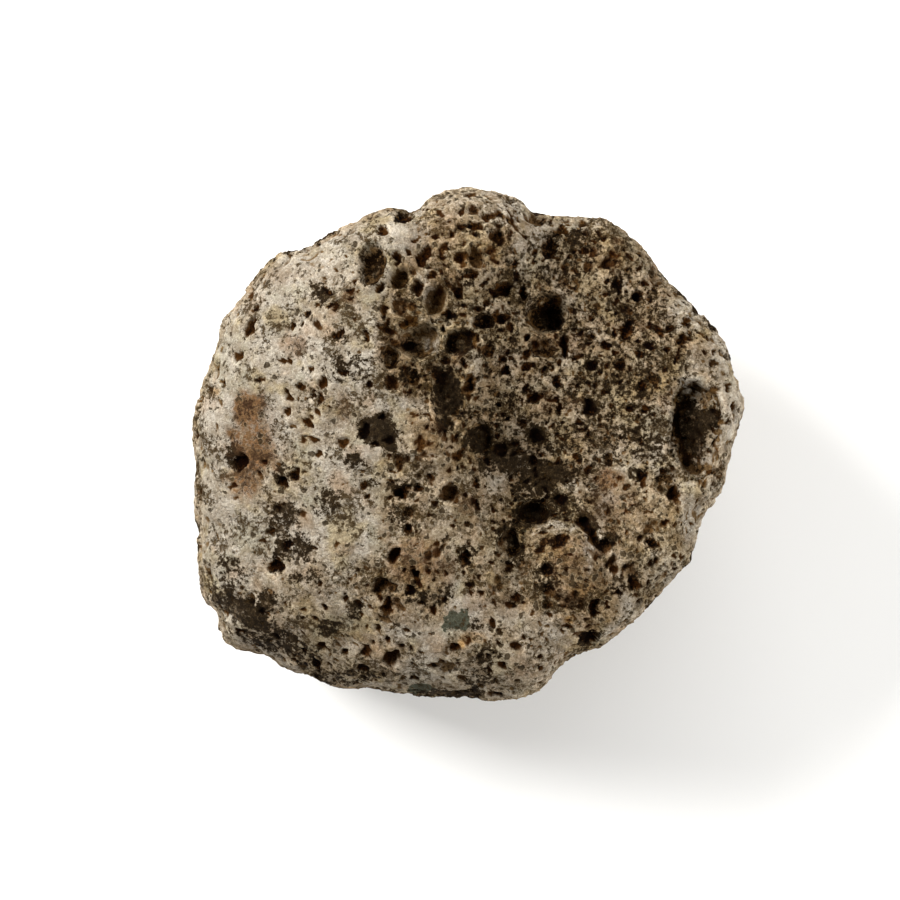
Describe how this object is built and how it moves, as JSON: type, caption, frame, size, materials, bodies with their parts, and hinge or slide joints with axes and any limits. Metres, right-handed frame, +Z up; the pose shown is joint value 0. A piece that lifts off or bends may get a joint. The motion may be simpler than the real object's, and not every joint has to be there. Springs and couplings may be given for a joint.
{
  "type": "rhyolite tuff specimen",
  "caption": "Loose palm-sized piece of pale grey-brown rhyolite tuff with a knobbly, pitted face, dark clasts and a flat broken underside to rest on.",
  "frame": {"origin": "centre of the stone's bounding box in plan, on the surface that it lies on", "axes": "+Z up, out of the pitted face; +Y towards the knob at the edge of the face; +X towards the pocket with the dark clast"},
  "size_m": [0.0997, 0.0931, 0.0569],
  "materials": {
    "weathered_tuff": "dry, rough, pitted volcanic ash rock, pale grey-beige with dark brown specks and vesicles"
  },
  "bodies": {
    "root": {"tuff_stone": "weathered_tuff"}
  },
  "joints": []
}
